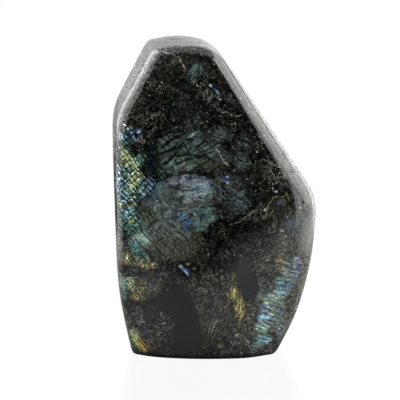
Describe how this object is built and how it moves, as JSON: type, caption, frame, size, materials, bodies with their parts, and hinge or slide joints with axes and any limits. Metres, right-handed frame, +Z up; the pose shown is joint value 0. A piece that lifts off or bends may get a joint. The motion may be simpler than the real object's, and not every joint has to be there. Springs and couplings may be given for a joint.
{
  "type": "polished labradorite freeform",
  "caption": "Single dark stone ground to a tall slab with shallow domed faces, rolled polished edges and a flat sawn foot that it stands on.",
  "frame": {"origin": "on the flat foot, below the middle of the stone's extents", "axes": "+Z up from the foot to the crest, +X across the broad face to the side with the bulge, +Y from the front face to the back face"},
  "size_m": [0.1038, 0.052, 0.1597],
  "materials": {
    "polished_stone": "polished"
  },
  "bodies": {
    "root": {"labradorite": "polished_stone"}
  },
  "joints": []
}
